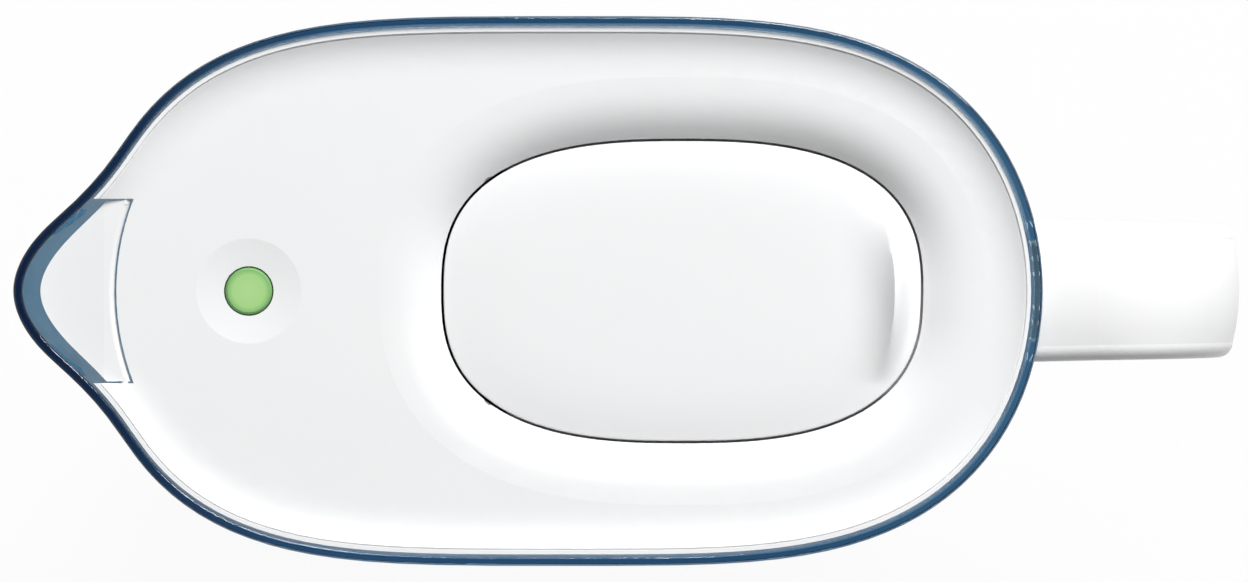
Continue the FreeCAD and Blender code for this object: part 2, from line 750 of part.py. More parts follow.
def crater(name, outset, drop):
    """The rounded hollow round the filling opening, from its foot up to the flat of the lid."""
    levels = []
    for share in CRATER_SHARES:
        steep = CRATER_STEEP_SHARE * (1 - share) ** CRATER_POWER
        fall = steep + (1 - CRATER_STEEP_SHARE) * (1 - share)
        reach = d.flap_gap + outset + d.crater_width * share
        levels.append((flap_outline(-reach), plateau_z - drop - d.crater_depth * fall))
    return loft(name, levels, ruled=False)


crater_space = crater("crater_space", 0, 0)
under_foot = flange_z - d.overrun
under_inset = ledge_inset_free + d.skirt_thick
plate_foot = plateau_z - d.plate_thick
under_space = loft("under_space", [(jug_outline(z, under_inset), z) for z in (under_foot, plate_foot)])
crater_core = crater("crater_core", d.plate_thick, d.plate_thick)
collar_ring = flap_outline(-d.flap_gap - d.collar_wall)
collar_core = loft("collar_core", [(collar_ring, under_foot), (collar_ring, flap_z)])
flap_axis_x = "flap_axis_back - flap_front"
flap_axis_z = f"{flap_edge} - flap_axis_depth"
ear_core = solid("Box", "ear_core",
                 (f"{flap_axis_x} - ear_half", "0 - flap_pin_half_span - ear_cover",
                  f"{flange_top} - overrun"),
                 Length="2 * ear_half", Width="2 * (flap_pin_half_span + ear_cover)",
                 Height=f"{plateau} - ({flange_top} - overrun)")
cheek_half = f"({notch_half} + cheek_width)"
cheek_box = solid("Box", "cheek_box", (front_end, f"0 - {cheek_half}", notch_bottom),
                  Length=notch_length, Width=f"2 * {cheek_half}", Height=notch_height)
cheek_drum = solid("Cylinder", "cheek_drum", (seam_centre, "0", notch_bottom),
                   Radius="seam_radius - skirt_thick", Height=notch_height)
cheek_core = cut("cheek_core", cheek_box, cheek_drum)
lens_spot_x = "0 - lens_x"
pad_foot = f"{plateau} - plate_thick - pad_thick"
pad_core = solid("Cylinder", "pad_core", (lens_spot_x, "0", pad_foot),
                 Radius="housing_radius", Height="plate_thick + pad_thick")
kept_core = fuse("kept_core", crater_core, collar_core, ear_core, cheek_core, pad_core)
under_cut = cut("under_cut", under_space, kept_core)
opening_ring = flap_outline(-d.flap_gap)
opening = loft("opening", [(opening_ring, under_foot - d.overrun), (opening_ring, flap_z + d.overrun)])
bore_span = "2 * (flap_pin_half_span + pin_gap)"
flap_bore = across(solid("Cylinder", "flap_bore",
                         (flap_axis_x, "0 - flap_pin_half_span - pin_gap", flap_axis_z),
                         Radius="flap_pin_radius + pin_gap", Height=bore_span))
spout_axis_x = "spout_axis_back - seam_front"
spout_axis_z = f"{plateau} - spout_axis_depth"
spout_pin_half_span = "(spout_flap_half_width + spout_pin_length)"
spout_bores = []
for side, start in (("left", "spout_flap_half_width"), ("right", f"0 - {spout_pin_half_span} - pin_gap")):
    spout_bores.append(across(solid("Cylinder", "spout_bore_" + side, (spout_axis_x, start, spout_axis_z),
                                    Radius="spout_pin_radius + pin_gap", Height="spout_pin_length + pin_gap")))
dimple_ball = "(dimple_radius * dimple_radius + dimple_depth * dimple_depth) / (2 * dimple_depth)"
dimple = solid("Sphere", "dimple", (lens_spot_x, "0", f"{plateau} - dimple_depth + {dimple_ball}"),
               Radius=dimple_ball)
lens_hole = solid("Cylinder", "lens_hole", (lens_spot_x, "0", f"{pad_foot} - overrun"),
                  Radius="lens_radius + button_gap", Height="plate_thick + pad_thick + 2 * overrun")
lid_plate = lid_block
lid_tools = (under_cut, dish, groove, crater_space, spout_notch, opening, flap_bore, *spout_bores, dimple, lens_hole)
for tool in lid_tools:
    lid_plate = cut("lid_less_" + tool.Name, lid_plate, tool)
seat_z = flap_z - d.flap_depth
seat_root = flap_outline(-d.flap_gap - d.collar_wall / 2)
seat_block = loft("seat_block", [(seat_root, seat_z - d.seat_thick), (seat_root, seat_z)])
seat_ring = flap_outline(d.seat_width - d.flap_gap)
seat_hole = loft("seat_hole", [(seat_ring, seat_z - d.seat_thick - d.overrun),
                               (seat_ring, seat_z + d.overrun)])
seat_front = solid("Box", "seat_front",
                   ("0 - flap_front - flap_gap - collar_wall - overrun", "0 - flap_half_width",
                    f"{flap_edge} - flap_depth - seat_thick - overrun"),
                   Length="flap_axis_back + flap_gap + collar_wall + overrun + ear_half",
                   Width="2 * flap_half_width", Height="seat_thick + 2 * overrun")
seat = cut("seat", seat_block, fuse("seat_space", seat_hole, seat_front))
lid = fuse("lid_whole", lid_plate, seat)


# Filling flap: a domed tray that rolls down in front of a ridge to lift it by, with two stub pins
DOME_SHARES = (0, 0.2, 0.45, 0.7)


def flap_tray(name, inset, drop):
    wall = loft(name + "_wall", [(flap_outline(inset), flap_z - d.flap_depth - (d.overrun if drop else 0)),
                                 (flap_outline(inset), flap_z - drop)])
    levels = []
    for share in DOME_SHARES:
        rise = d.flap_dome * (1 - (1 - share) ** 2)
        levels.append((flap_outline(inset + d.flap_half_width * share), flap_z - drop + rise))
    return fuse(name, wall, loft(name + "_dome", levels, ruled=False))


flap_sharp = flap_tray("flap_sharp", 0, 0)
flap_whole = round_edges("flap_whole", flap_sharp, d.flap_edge_round, lambda edge: level(edge, flap_z))
flap_space = flap_tray("flap_space", d.flap_wall, d.flap_plate)
ridge_rear_x = "(flap_rear - ridge_margin)"
ridge_front_x = f"({ridge_rear_x} - ridge_thick)"
ridge_foot = f"{flap_edge} - flap_plate / 2"
ridge_height = "flap_plate / 2 + flap_dome + ridge_rise"
ridge_face = solid("Cylinder", "ridge_face",
                   (f"{ridge_front_x} - ridge_front_radius", "0", f"{flap_edge} - flap_depth"),
                   Radius="ridge_front_radius", Height="flap_depth + flap_dome + ridge_rise + overrun")
roll_x = f"({ridge_front_x} - roll_set_back)"
roll_z = f"({flap_edge} + flap_dome + roll_rise - roll_height)"
roll_space = solid("Box", "roll_space", (roll_x, "0 - flap_half_width - overrun", f"{flap_edge} - flap_depth - overrun"),
                   Length=f"flap_rear + overrun - {roll_x}", Width="2 * (flap_half_width + overrun)",
                   Height="flap_depth + flap_dome + ridge_rise + 2 * overrun")
rolls = []
for roll_name, drop in (("roll", "0"), ("roll_back", "flap_plate")):
    rolls.append(solid("Ellipsoid", roll_name, (roll_x, "0", f"{roll_z} - {drop}"),
                       Radius1="roll_height", Radius2="roll_length", Radius3="roll_width"))
roll_face = common("roll_face", roll_space, ridge_face)
scoop = cut("scoop", roll_face, rolls[0])
scoop_back = cut("scoop_back", roll_space, rolls[1])
ridge_drum = solid("Cylinder", "ridge_drum", (f"{ridge_rear_x} - ridge_rear_radius", "0", ridge_foot),
                   Radius="ridge_rear_radius", Height=ridge_height)
ridge_bar = cut("ridge_bar", ridge_drum, ridge_face)
ridge_arch = solid("Cylinder", "ridge_arch",
                   (f"{ridge_front_x} - overrun", "0", f"{ridge_foot} + {ridge_height} - ridge_arch_radius"),
                   Radius="ridge_arch_radius", Height="ridge_thick + 2 * overrun")
ridge_arch.Placement.Rotation = FreeCAD.Rotation(FreeCAD.Vector(0, 1, 0), 90)
ridge = common("ridge", ridge_bar, ridge_arch)
flap_hollow = cut("flap_hollow", flap_space, scoop_back)
flap_tool = fuse("flap_tool", flap_hollow, scoop)
flap_shell = cut("flap_shell", flap_whole, flap_tool)
flap_pins = []
for side, start in (("left", "flap_pin_half_span - flap_pin_length"), ("right", "0 - flap_pin_half_span")):
    flap_pins.append(across(solid("Cylinder", "flap_pin_" + side, (flap_axis_x, start, flap_axis_z),
                                  Radius="flap_pin_radius", Height="flap_pin_length")))
fill_flap = fuse("fill_flap_whole", flap_shell, ridge, *flap_pins)

# Spout flap: a plate that follows the spout's inner wall, folded down in front of its hinge
spout_flap_body = new_body("spout_plate", ("0", "0", plateau))
crease_x = "0 - seam_front - spout_flap_crease"
fall_share = "(spout_flap_fall / (rim_front + spout_reach - seam_front - spout_flap_crease))"
tip_x = front_end
tip_z = f"0 - {fall_share} * (rim_front + spout_reach + overrun - seam_front - spout_flap_crease)"
spout_sketch = corner_sketch(spout_flap_body, "spout_flap_side", "XZ_Plane", (
    ("0 - notch_rear", "0"),
    (crease_x, "0"),
    (tip_x, tip_z),
    (tip_x, f"{tip_z} - spout_flap_thick"),
    (crease_x, "0 - spout_flap_thick"),
    ("0 - notch_rear", "0 - spout_flap_thick"),
))
spout_pad = spout_flap_body.newObject("PartDesign::Pad", "spout_flap_pad")
spout_pad.Profile = spout_sketch
spout_pad.SideType = "Symmetric"
spout_pad.setExpression("Length", formula("2 * spout_flap_half_width"))
seam_clear = solid("Cylinder", "seam_clear", (seam_centre, "0", notch_bottom),
                   Radius="seam_radius + seam_gap", Height=notch_height)
spout_levels = [(jug_outline(z, ledge_inset_free + d.spout_flap_inset), z) for z in (flange_z, lid_z)]
spout_plan = cut("spout_plan", loft("spout_whole", spout_levels), seam_clear)
spout_sharp = common("spout_sharp", spout_flap_body, spout_plan)


def on_seam(edge):
    """True for the flap's upper edge along the seam, which rolls over as the flap opens."""
    middle = edge.valueAt(sum(edge.ParameterRange) / 2)
    reach = math.hypot(middle.x - number(seam_centre), middle.y)
    return level(edge, plateau_z) and abs(reach - d.seam_radius - d.seam_gap) < near


spout_plate = round_edges("spout_plate_rolled", spout_sharp, d.spout_edge_round, on_seam)
spout_pins = []
spout_pin_starts = (("left", "spout_flap_half_width - spout_pin_root"),
                    ("right", f"0 - {spout_pin_half_span}"))
for side, start in spout_pin_starts:
    spout_pins.append(across(solid("Cylinder", "spout_pin_" + side, (spout_axis_x, start, spout_axis_z),
                                   Radius="spout_pin_radius", Height="spout_pin_root + spout_pin_length")))
spout_flap = fuse("spout_flap_whole", spout_plate, *spout_pins)

# Change indicator: a button lens over a switch, on a board in a sealed pod under the lid
lens_spot = (lens_spot_x, "0", plateau)
lens_top = "lens_proud - dimple_depth"
lens_shoulder = "0 - plate_thick - pad_thick - button_gap"
lens_foot = f"{lens_shoulder} - lens_flange"
indicator_lens = turned("indicator_lens", lens_spot, (
    ("0", lens_foot),
    ("lens_radius + lens_flange_margin", lens_foot),
    ("lens_radius + lens_flange_margin", lens_shoulder),
    ("lens_radius", lens_shoulder),
    ("lens_radius", f"{lens_top} - lens_edge_round"),
    ("lens_radius - lens_edge_round", lens_top),
    ("0", lens_top),
))
switch_top = f"{lens_foot} - plunger_rise"
board_top = f"{switch_top} - switch_height"
board_foot = f"{board_top} - board_thick"
plunger_foot = f"{switch_top} - plunger_depth"
switch_plunger = turned("switch_plunger", lens_spot, (
    ("0", plunger_foot),
    ("plunger_radius", plunger_foot),
    ("plunger_radius", lens_foot),
    ("0", lens_foot),
))
switch_block = solid("Box", "switch_block",
                     (f"{lens_spot_x} - switch_side / 2", "0 - switch_side / 2", f"{plateau} + {board_top}"),
                     Length="switch_side", Width="switch_side", Height="switch_height")
switch_well = solid("Cylinder", "switch_well",
                    (lens_spot_x, "0", f"{plateau} + {plunger_foot} - button_travel - button_gap"),
                    Radius="plunger_radius + pin_gap",
                    Height="plunger_depth + button_travel + button_gap + overrun")
switch_body = cut("switch_whole", switch_block, switch_well)
circuit_board = turned("circuit_board", lens_spot, (
    ("0", board_foot),
    ("housing_radius - housing_wall - board_gap", board_foot),
    ("housing_radius - housing_wall - board_gap", board_top),
    ("0", board_top),
))
led_chip = solid("Box", "led_block",
                 (f"{lens_spot_x} + led_x - led_side / 2", "0 - led_side / 2", f"{plateau} + {board_top}"),
                 Length="led_side", Width="led_side", Height="led_height")
cell_top = f"{board_foot} - spring_rise"
cell_foot = f"{cell_top} - cell_thick"
contact_negative = turned("contact_negative", lens_spot, (
    ("0", cell_top),
    ("spring_radius / 2", cell_top),
    ("spring_radius", f"{board_foot} - contact_thick"),
    ("spring_radius", board_foot),
    ("spring_radius - contact_thick", board_foot),
    ("spring_radius / 2 - contact_thick", f"{cell_top} + contact_thick"),
    ("0", f"{cell_top} + contact_thick"),
))
coin_cell = turned("coin_cell", lens_spot, (
    ("0", cell_foot),
    ("cell_radius", cell_foot),
    ("cell_radius", f"{cell_top} - cell_bevel"),
    ("cell_radius - cell_bevel", f"{cell_top} - cell_bevel"),
    ("cell_radius - cell_bevel", cell_top),
    ("0", cell_top),
))
clip_foot = f"{cell_foot} - contact_thick"
clip_plate = solid("Cylinder", "clip_plate", (lens_spot_x, "0", f"{plateau} + {clip_foot}"),
                   Radius="cell_radius", Height="contact_thick")
clip_tab = solid("Box", "clip_tab",
                 (f"{lens_spot_x} + cell_radius + tab_gap", "0 - tab_width / 2", f"{plateau} + {clip_foot}"),
                 Length="contact_thick", Width="tab_width", Height=f"{board_foot} - ({clip_foot})")
clip_arm = solid("Box", "clip_arm", (lens_spot_x, "0 - tab_width / 2", f"{plateau} + {clip_foot}"),
                 Length="cell_radius + tab_gap + contact_thick", Width="tab_width", Height="contact_thick")
contact_positive = fuse("contact_positive_whole", clip_plate, clip_arm, clip_tab)
pod_top = "0 - plate_thick - pad_thick"
pod_foot = f"{clip_foot} - cover_plug"
pod_inner = "housing_radius - housing_wall"
indicator_housing = turned("indicator_housing", lens_spot, (
    (f"{pod_inner} - board_ledge", board_top),
    (pod_inner, board_top),
    (pod_inner, pod_foot),
    ("housing_radius", pod_foot),
    ("housing_radius", pod_top),
    (f"{pod_inner} - board_ledge", pod_top),
))
gasket_foot = f"{pod_foot} - gasket_thick"
indicator_seal = turned("indicator_seal", lens_spot, (
    (pod_inner, gasket_foot),
    ("housing_radius", gasket_foot),
    ("housing_radius", pod_foot),
    (pod_inner, pod_foot),
))
cover_foot = f"{gasket_foot} - cover_flange"
cover_turned = turned("cover_turned", lens_spot, (
    ("0", cover_foot),
    ("housing_radius", cover_foot),
    ("housing_radius", gasket_foot),
    (f"{pod_inner} - board_gap", gasket_foot),
    (f"{pod_inner} - board_gap", clip_foot),
    ("0", clip_foot),
))
coin_slot = solid("Box", "coin_slot",
                  (f"{lens_spot_x} - coin_slot_half", "0 - coin_slot_width / 2",
                   f"{plateau} + {cover_foot} - overrun"),
                  Length="2 * coin_slot_half", Width="coin_slot_width", Height="coin_slot_depth + overrun")
indicator_cover = cut("indicator_cover_whole", cover_turned, coin_slot)

# Every node with the object that holds its shape
NODES = {
    "jug": jug,
    "handle_shell": handle_shell,
    "handle_liner": handle_liner,
    "funnel": funnel,
    "cartridge_cup": cartridge_cup,
    "cartridge_cap": cartridge_cap,
    "cartridge_seal": cartridge_seal,
    "inlet_mesh": inlet_mesh,
    "outlet_mesh": outlet_mesh,
    "filter_media": filter_media,
    "lid": lid,
    "fill_flap": fill_flap,
    "spout_flap": spout_flap,
    "indicator_lens": indicator_lens,
    "switch_plunger": switch_plunger,
    "switch_body": switch_body,
    "circuit_board": circuit_board,
    "led_chip": led_chip,
    "coin_cell": coin_cell,
    "contact_negative": contact_negative,
    "contact_positive": contact_positive,
    "indicator_housing": indicator_housing,
    "indicator_seal": indicator_seal,
    "indicator_cover": indicator_cover,
}
for node, item in NODES.items():
    item.Label = node
settle()
for node, item in NODES.items():
    if item.Shape.isNull() or not item.Shape.isValid() or len(item.Shape.Solids) != 1:
        raise ValueError(f"{node} is not one sound solid")

os.makedirs("parts", exist_ok=True)
for node, item in NODES.items():
    item.Shape.exportStep(f"parts/{node}.step")
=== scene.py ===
# %% [markdown]
# # A water filter pitcher, seen from straight above
# The construction comes ready made: every rigid piece of the pitcher is already a solid at its real
# size. This lesson gives each of them its finish. It models two woven screens, which a plain disc can't
# show, and the filling flap, whose ridge is softer than the solid's. Then it sets up the floor, the
# light and the camera.

# %% Load the frame
import math

import bpy
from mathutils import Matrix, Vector


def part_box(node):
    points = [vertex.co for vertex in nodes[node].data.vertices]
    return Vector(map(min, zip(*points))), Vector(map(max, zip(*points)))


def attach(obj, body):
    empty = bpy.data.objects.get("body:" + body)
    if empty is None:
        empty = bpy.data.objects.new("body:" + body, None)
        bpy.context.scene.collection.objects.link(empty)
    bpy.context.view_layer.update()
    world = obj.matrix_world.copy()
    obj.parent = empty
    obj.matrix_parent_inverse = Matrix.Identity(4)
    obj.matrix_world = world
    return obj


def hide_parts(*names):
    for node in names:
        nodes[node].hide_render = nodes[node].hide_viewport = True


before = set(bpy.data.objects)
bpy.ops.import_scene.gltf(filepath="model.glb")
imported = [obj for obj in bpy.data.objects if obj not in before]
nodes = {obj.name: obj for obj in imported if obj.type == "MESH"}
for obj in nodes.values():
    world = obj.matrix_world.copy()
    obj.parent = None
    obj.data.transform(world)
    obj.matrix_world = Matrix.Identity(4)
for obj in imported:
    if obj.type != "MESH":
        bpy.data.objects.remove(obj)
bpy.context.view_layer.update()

# %% [markdown]
# ## Where things are
# All coordinates are metres in the pitcher's own frame: the spout points to -X, the handle to +X, and
# the table is at Z = 0. Patterns that are centred on a piece need its middle, so that is worked out
# from the piece's own box instead of being typed in.

# %% Middles of the round pieces
MILLIMETRE = 0.001


def middle_of(node):
    """The middle of a piece's box."""
    low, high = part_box(node)
    return (low + high) / 2


lens_middle = middle_of("indicator_lens")
rim_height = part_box("jug")[1].z
print("lens at", [round(value, 4) for value in lens_middle], "and rim at", round(rim_height, 4))

# %% [markdown]
# ## Helpers for node materials
# A finish is a small network of nodes. Nearly all of them begin with the same three steps: take the
# point's place on the object, feed it to a noise, and turn the noise into a range of values. Writing
# these steps once keeps every finish short. Values that are the same all over the surface are set on
# the shader's own sockets.

# %% Helpers for node materials
# The wave texture runs through this many radians in a metre at a scale of 1.
WAVE_RATE = 20


class Finish:
    """One material, with the few nodes that most finishes share."""

    def __init__(self, name, **sockets):
        self.material = bpy.data.materials.new(name)
        self.material.use_nodes = True
        self.tree = self.material.node_tree
        self.shader = self.tree.nodes["Principled BSDF"]
        self.output = self.tree.nodes["Material Output"]
        self.place = self.node("ShaderNodeTexCoord").outputs["Object"]
        for socket, value in sockets.items():
            self.shader.inputs[socket.replace("_", " ")].default_value = value

    def node(self, kind, **settings):
        made = self.tree.nodes.new(kind)
        for setting, value in settings.items():
            setattr(made, setting, value)
        return made

    def link(self, start, end):
        self.tree.links.new(start, end)

    def moved(self, centre=(0, 0, 0), scale=(1, 1, 1)):
        """Object coordinates counted from a centre, in units of the given scale."""
        shift = self.node("ShaderNodeMapping", vector_type="TEXTURE")
        shift.inputs["Location"].default_value = centre
        shift.inputs["Scale"].default_value = scale
        self.link(self.place, shift.inputs["Vector"])
        return shift.outputs["Vector"]

    def noise(self, size, detail=3, place=None):
        """A cloudy pattern whose blobs are about the given size, in metres."""
        cloud = self.node("ShaderNodeTexNoise")
        cloud.inputs["Scale"].default_value = 1 / size
        cloud.inputs["Detail"].default_value = detail
        self.link(place or self.place, cloud.inputs["Vector"])
        return cloud.outputs["Fac"]

    def grains(self, size):
        """Round cells of about the given size, dark in the middle."""
        cells = self.node("ShaderNodeTexVoronoi")
        cells.inputs["Scale"].default_value = 1 / size
        self.link(self.place, cells.inputs["Vector"])
        return cells

    def rings(self, pitch, place):
        """Even waves in rings round Z."""
        wave = self.node("ShaderNodeTexWave", wave_type="RINGS", rings_direction="Z")
        wave.inputs["Scale"].default_value = 2 * math.pi / (WAVE_RATE * pitch)
        self.link(place, wave.inputs["Vector"])
        return wave.outputs["Fac"]

    def ranged(self, value, low, high, start=0, end=1):
        """A pattern from start to end, spread between two values."""
        spread = self.node("ShaderNodeMapRange")
        spread.inputs["From Min"].default_value = start
        spread.inputs["From Max"].default_value = end
        spread.inputs["To Min"].default_value = low
        spread.inputs["To Max"].default_value = high
        self.link(value, spread.inputs["Value"])
        return spread.outputs["Result"]

    def ramp(self, value, *stops):
        """Colours along a pattern, as (place, colour) pairs."""
        band = self.node("ShaderNodeValToRGB")
        points = band.color_ramp.elements
        while len(points) < len(stops):
            points.new(0.5)
        for point, (spot, colour) in zip(points, stops):
            point.position = spot
            point.color = (*colour, 1)
        self.link(value, band.inputs["Fac"])
        return band.outputs["Color"]

    def colour(self, value, *stops):
        self.link(self.ramp(value, *stops), self.shader.inputs["Base Color"])

    def roughness(self, value, low, high):
        self.link(self.ranged(value, low, high), self.shader.inputs["Roughness"])

    def bump(self, value, depth, strength=1.0):
        """Relief of the given depth, in metres."""
        relief = self.node("ShaderNodeBump")
        relief.inputs["Distance"].default_value = depth
        relief.inputs["Strength"].default_value = strength
        self.link(value, relief.inputs["Height"])
        self.link(relief.outputs["Normal"], self.shader.inputs["Normal"])


def dress(finish, *names):
    """Put a finish on CAD nodes, which keep their shape and place."""
    for name in names:
        for slot in nodes[name].material_slots:
            slot.material = finish.material
    print(finish.material.name, "on", ", ".join(names))


# %% [markdown]
# ## The clear jug
# The jug is moulded from clear plastic. A thin wall looks colourless, but from above the eye looks
# down into the whole height of the wall, and the light comes back dark blue. Painting the edge blue
# would look wrong from the side, so the colour is put inside the plastic: a volume that swallows red
# first and blue last. A faint waviness bends the reflections as moulded walls do. Where the wall is seen
# nearly edge on, its surface is tinted as well, and at the spout it is tinted at a smaller slant than
# elsewhere when the eye looks down along the wall.

# %% Clear plastic
SPOUT_DEEPENS = 0.42
SPOUT_FULL, SPOUT_END = 0.085, 0.12
ABOVE_START, ABOVE_FULL = 0.6, 0.95
jug_low, jug_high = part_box("jug")
clear = Finish("clear_blue_edged_plastic", Transmission_Weight=1.0, IOR=1.5)
slant = clear.node("ShaderNodeLayerWeight")
slant.inputs["Blend"].default_value = 0.5
along = clear.node("ShaderNodeSeparateXYZ")
clear.link(clear.moved((jug_low.x, 0, 0), (jug_high.x - jug_low.x, 1, 1)), along.inputs["Vector"])
view_way = clear.node("ShaderNodeSeparateXYZ")
clear.link(clear.node("ShaderNodeNewGeometry").outputs["Incoming"], view_way.inputs["Vector"])
from_above = clear.ranged(view_way.outputs["Z"], 0.0, SPOUT_DEEPENS, ABOVE_START, ABOVE_FULL)
at_spout = clear.ranged(along.outputs["X"], 1.0, 0.0, SPOUT_FULL, SPOUT_END)
leaning = clear.node("ShaderNodeMath", operation="MULTIPLY_ADD")
clear.link(from_above, leaning.inputs[0])
clear.link(at_spout, leaning.inputs[1])
clear.link(slant.outputs["Facing"], leaning.inputs[2])
clear.colour(
    leaning.outputs["Value"],
    (0.42, (1.0, 1.0, 1.0)),
    (0.58, (0.03, 0.14, 0.25)),
    (0.80, (0.008, 0.06, 0.14)),
)
clear.roughness(clear.noise(18 * MILLIMETRE), 0.0, 0.03)
clear.bump(clear.noise(40 * MILLIMETRE, detail=1), 0.25 * MILLIMETRE, 0.12)
dress(clear, "jug")

# %% [markdown]
# Light that enters through the rim is caught between the two faces of the wall and bounces from side
# to side more often than a renderer follows. Left alone, such a ray ends in black. So after two mirror
# bounces the wall gives off a painted blue glow in its place: the blue that the light would have picked
# up on its long way down the wall. This painted glow is deepest at the spout, where the wall leans out
# and is longest, and palest at the very back, where it stands in for light from the white handle behind
# the rim.

# %% Light inside the clear wall
ABSORPTION = 26.0
CAUGHT_AFTER = 1.5
depths = clear.node("ShaderNodeVolumeAbsorption")
depths.inputs["Color"].default_value = (0.089, 0.45, 0.605, 1)
depths.inputs["Density"].default_value = ABSORPTION
clear.link(depths.outputs["Volume"], clear.output.inputs["Volume"])
caught = clear.node("ShaderNodeMath", operation="GREATER_THAN")
caught.inputs[1].default_value = CAUGHT_AFTER
clear.link(clear.node("ShaderNodeLightPath").outputs["Glossy Depth"], caught.inputs[0])
# Painted light: caught rays give off this blue glow in place of the light lost in the wall.
painted_blue_glow = clear.node("ShaderNodeEmission")
# Painted light: palest at the back, where the glow stands in for the white handle's light behind the rim.
painted_glow_colours = clear.ramp(
    along.outputs["X"],
    (0.00, (0.001, 0.01, 0.045)),
    (0.12, (0.008, 0.04, 0.10)),
    (0.30, (0.10, 0.20, 0.33)),
    (0.968, (0.11, 0.22, 0.34)),
    (0.988, (0.52, 0.66, 0.73)),
)
clear.link(painted_glow_colours, painted_blue_glow.inputs["Color"])
either = clear.node("ShaderNodeMixShader")
clear.link(caught.outputs["Value"], either.inputs["Fac"])
clear.link(clear.shader.outputs["BSDF"], either.inputs[1])
clear.link(painted_blue_glow.outputs["Emission"], either.inputs[2])
clear.link(either.outputs["Shader"], clear.output.inputs["Surface"])
print("blue for caught light along", round(jug_high.x - jug_low.x, 4), "m of wall")

# %% [markdown]
# ## White moulded plastic
# The lid, its flaps and the handle are white plastic with a silky surface. Even a white moulding isn't
# one flat colour: it has cloudy patches a few centimetres wide, and a grain much finer than a
# millimetre left by the mould. The same recipe serves several pieces, with its own gloss for each.

# %% White moulded plastic


def white_plastic(name, light, shade, gloss, grain):
    """A cloudy white between two shades. The grain's size is in millimetres."""
    finish = Finish(name, IOR=1.49)
    cloud = finish.noise(35 * MILLIMETRE, detail=4)
    finish.colour(cloud, (0.1, shade), (0.9, light))
    finish.roughness(finish.noise(9 * MILLIMETRE), gloss - 0.05, gloss + 0.05)
    finish.bump(finish.noise(grain * MILLIMETRE, detail=2), 0.02 * MILLIMETRE, 0.5)
    return finish


lid_white = white_plastic("lid_white", (0.87, 0.875, 0.88), (0.85, 0.857, 0.865), 0.36, 0.35)
dress(lid_white, "lid", "spout_flap")
flap_white = white_plastic("flap_white", (0.87, 0.874, 0.88), (0.855, 0.86, 0.868), 0.34, 0.3)
dress(flap_white, "fill_flap")
# The handle's white is lighter than the lid's: painted light that brightens its curved sides, which the
# lamp leaves in some shade.
handle_white = white_plastic("handle_white", (0.92, 0.922, 0.924), (0.905, 0.908, 0.912), 0.36, 0.4)
dress(handle_white, "handle_shell")
pod_white = white_plastic("pod_white", (0.84, 0.85, 0.85), (0.81, 0.82, 0.825), 0.42, 0.5)
dress(pod_white, "indicator_housing", "indicator_cover")
funnel_white = white_plastic("funnel_white", (0.86, 0.87, 0.88), (0.83, 0.845, 0.86), 0.36, 0.45)
dress(funnel_white, "funnel")
cartridge_white = white_plastic("cartridge_white", (0.8, 0.83, 0.86), (0.77, 0.8, 0.84), 0.4, 0.5)
dress(cartridge_white, "cartridge_cup", "cartridge_cap")

# %% [markdown]
# ## The handle behind the clear wall
# The handle is fixed to clear lugs on the jug, and daylight reaches it through them. A renderer hardly
# follows light through clear plastic on to another surface, and the rim above the handle would look
# nearly black. So the handle gives off a little light, only towards rays that have passed through
# something clear.

# %% Light on the handle behind the clear wall
SEEN_THROUGH = 0.5
ROOT_GLOW = 0.4
behind_clear = handle_white.node("ShaderNodeMath", operation="GREATER_THAN")
behind_clear.inputs[1].default_value = SEEN_THROUGH
passes = handle_white.node("ShaderNodeLightPath").outputs["Transmission Depth"]
handle_white.link(passes, behind_clear.inputs[0])
root_glow = handle_white.ranged(behind_clear.outputs["Value"], 0.0, ROOT_GLOW)
handle_white.link(root_glow, handle_white.shader.inputs["Emission Strength"])
handle_white.shader.inputs["Emission Color"].default_value = (0.80, 0.90, 0.95, 1)
print("handle glows by", ROOT_GLOW, "behind clear plastic")

# %% [markdown]
# ## The grip liner
# The strip on the finger side of the handle is a softer, matt plastic. Small round dots, pressed into
# the mould, keep wet fingers from slipping. Cells of a Voronoi pattern give such dots without a mesh.

# %% Grip liner
liner = Finish("grip_liner", IOR=1.47)
dots = liner.grains(1.6 * MILLIMETRE).outputs["Distance"]
liner.colour(liner.noise(12 * MILLIMETRE), (0.3, (0.66, 0.68, 0.7)), (0.7, (0.72, 0.735, 0.75)))
liner.roughness(dots, 0.5, 0.7)
liner.bump(dots, 0.15 * MILLIMETRE, 0.6)
dress(liner, "handle_liner")

# %% [markdown]
# ## The indicator lens
# The round green window is frosted plastic with a small lamp behind it. It is palest in the middle and
# deepest at its edge, so its colour follows the distance from its own middle. A little of that colour
# is given off as light.

# %% Indicator lens
LENS_TOP_RADIUS = 4.9 * MILLIMETRE
LENS_GLOW = 0.08
# A scale this long makes the distance leave out the height.
HEIGHT_LEFT_OUT = 1000
lens = Finish("green_lens", IOR=1.49, Emission_Strength=LENS_GLOW)
from_middle = lens.moved(
    (lens_middle.x, lens_middle.y, 0), (LENS_TOP_RADIUS, LENS_TOP_RADIUS, HEIGHT_LEFT_OUT))
distance = lens.node("ShaderNodeVectorMath", operation="LENGTH")
lens.link(from_middle, distance.inputs[0])
lens_colour = lens.ramp(
    distance.outputs["Value"],
    (0.0, (0.39, 0.63, 0.26)),
    (0.7, (0.34, 0.60, 0.22)),
    (0.88, (0.22, 0.47, 0.16)),
    (1.0, (0.17, 0.36, 0.13)),
)
lens.link(lens_colour, lens.shader.inputs["Base Color"])
lens.link(lens_colour, lens.shader.inputs["Emission Color"])
lens.roughness(lens.noise(2 * MILLIMETRE), 0.28, 0.4)
lens.bump(lens.noise(0.3 * MILLIMETRE), 0.02 * MILLIMETRE, 0.4)
dress(lens, "indicator_lens")

# %% [markdown]
# ## Seals
# The two sealing rings are grey silicone. It is soft and dull, and a film of dust gives it a faint sheen.

